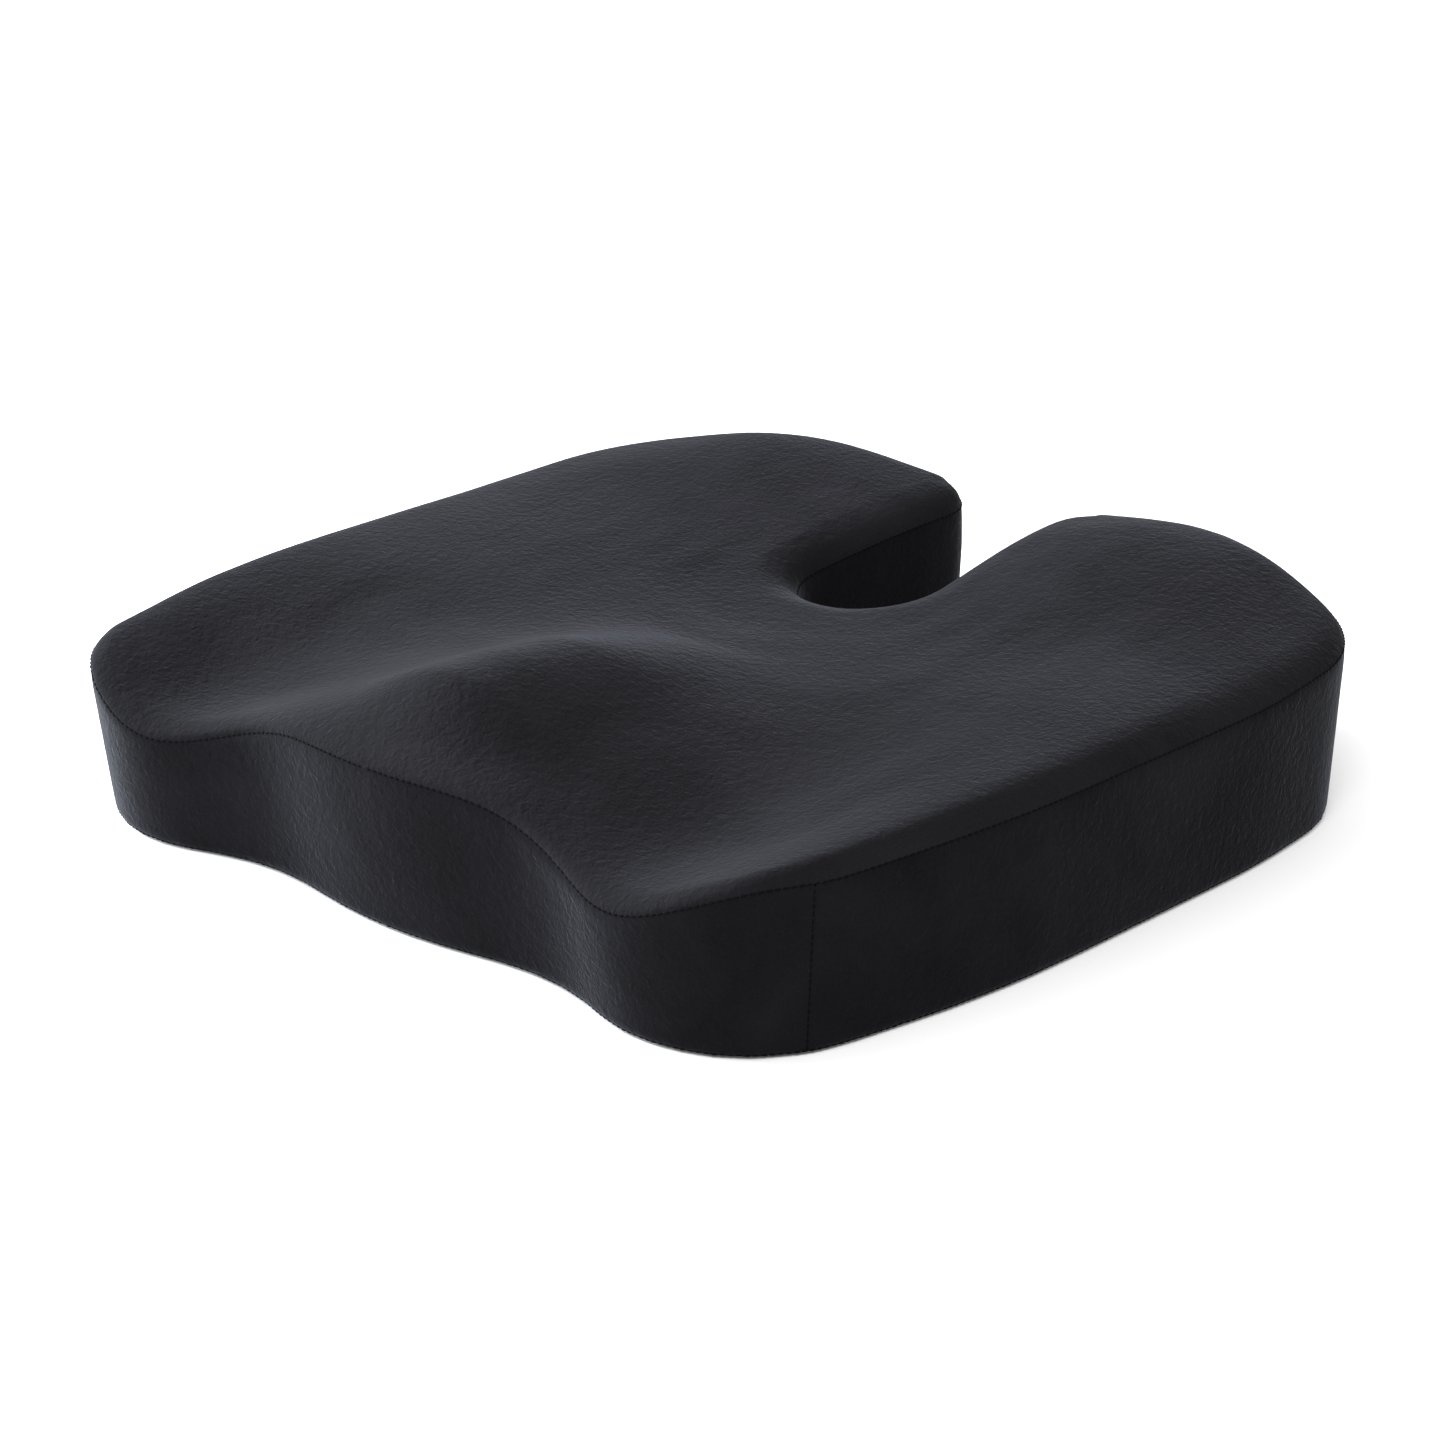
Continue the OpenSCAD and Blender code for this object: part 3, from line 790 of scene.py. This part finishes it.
def add_threads(shell, points, materials):
    thread = materials["thread"]
    seam = shell.ring(points, shell.seam_ring)

    def out_from_wall(middle):
        k = int(np.argmin(np.linalg.norm(shell.seam - middle, axis=1)))
        return -shell.inward[k] * STITCH_LIFT

    finish_piece(stitches("top_seam_thread", seam, thread, out_from_wall, True),
                 "sewing_thread", "top_seam")
    low = shell.ring(points, LOW_ROWS.index(BASE_SEAM_Z))
    finish_piece(stitches("base_seam_thread", low, thread, out_from_wall, True),
                 "sewing_thread", "base_seam")
    for seam_place, name in zip(UPRIGHT_SEAMS, SEAM_NAMES):
        k = int(np.argmin(abs(shell.places - seam_place)))
        line = [shell.ring(points, r)[k] for r in range(1, shell.seam_ring + 1)]
        piece = stitches(name + "_seam_thread", line, thread, out_from_wall,
                         radius=UPRIGHT_THREAD_RADIUS)
        finish_piece(piece, "sewing_thread", name + "_band_seam")
    for z, name in ((ZIP_LOW - ZIP_HEM, "lower"), (ZIP_HIGH + ZIP_HEM, "upper")):
        ends = [shell.zip.middle + shell.zip.axis * s for s in (-ZIP_HALF, ZIP_HALF)]
        line = [np.array([p[0], p[1], z]) for p in ends]
        piece = stitches("zip_hem_thread_" + name, line, thread,
                         lambda middle: shell.zip.out * STITCH_LIFT)
        finish_piece(piece, "sewing_thread")


def add_grip_dots(shell, materials):
    """Rubber dots in staggered rows, which carry the base fabric."""
    edge = shell.base_edge[:, :2]
    turns = [2 * math.pi * s / DOT_SIDES for s in range(DOT_SIDES)]
    across = DOT_PITCH * math.sqrt(3) / 2
    points, faces = [], []
    for row, y in enumerate(np.arange(edge[:, 1].min(), edge[:, 1].max(), across), 1):
        start = edge[:, 0].min() + row % 2 * DOT_PITCH / 2
        for x in np.arange(start, edge[:, 0].max(), DOT_PITCH):
            if not is_inside(edge, x, y) or np.hypot(*(edge - (x, y)).T).min() < DOT_MARGIN:
                continue
            first = len(points)
            for share, z in DOT_PROFILE:
                reach = DOT_RADIUS * share
                points += [(x + reach * math.cos(a), y + reach * math.sin(a), z) for a in turns]
            last = len(points) - DOT_SIDES
            for low in range(first, last, DOT_SIDES):
                for s in range(DOT_SIDES):
                    n = (s + 1) % DOT_SIDES
                    faces.append((low + s, low + DOT_SIDES + s, low + DOT_SIDES + n, low + n))
            faces.append(tuple(range(last, len(points)))[::-1])
    finish_piece(make_object("grip_dots", points, faces, materials["rubber"]), "base_fabric")


def dress_zip(frame, materials):
    for name, node in frame["nodes"].items():
        if not name.startswith("zip_"):
            continue
        kind = "tape" if "tape" in name else "teeth" if "teeth" in name else "enamel"
        node.data.materials.clear()
        node.data.materials.append(materials[kind])


def make_materials():
    return {
        "seat": pile_material("velour_seat", (0.0064, 0.0061, 0.0075), 0.75, 12, 0.07),
        # The band velour's base colour is darker than the seat's: painted shade, standing in for the
        # walls lying darker than the top under light that comes mostly from above.
        "band": pile_material("velour_band_painted_shade", (0.0040, 0.0038, 0.0048), 0.5, 20, 0.125),
        "base": woven_material("base_cloth", (0.018, 0.018, 0.02), 1.1),
        "tape": woven_material("zip_tape_cloth", (0.006, 0.006, 0.007), 0.6),
        "thread": plain_material("thread", (0.0025, 0.0025, 0.003), 0.85, 0, 900, 0.1, 0.03),
        "rubber": plain_material("grip_rubber", (0.03, 0.03, 0.034), 0.6, 0, 300, 0.05),
        "teeth": plain_material("zip_teeth_plastic", (0.02, 0.02, 0.022), 0.35, 0, 500, 0.03),
        "enamel": plain_material("zip_enamel", (0.03, 0.03, 0.032), 0.32, 0.6, 250, 0.03),
        "foam": foam_material(),
    }


def main():
    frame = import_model()
    add_camera()
    add_lights()
    add_floor()
    materials = make_materials()
    shell = Shell(frame)
    held = shell.sewn()
    shell.points = relaxed(shell.points, shell.faces, held, GRID_ROUNDS)
    points = swollen(shell, held, materials["band"])
    points = relaxed(points, shell.faces, held, SETTLE_ROUNDS)
    points = relaxed(points, shell.faces, ~shell.notch_rim(), NOTCH_ROUNDS, shrinks=True)
    add_cover(shell, points, materials)
    add_foam(shell, points, materials)
    add_threads(shell, points, materials)
    add_grip_dots(shell, materials)
    dress_zip(frame, materials)


main()
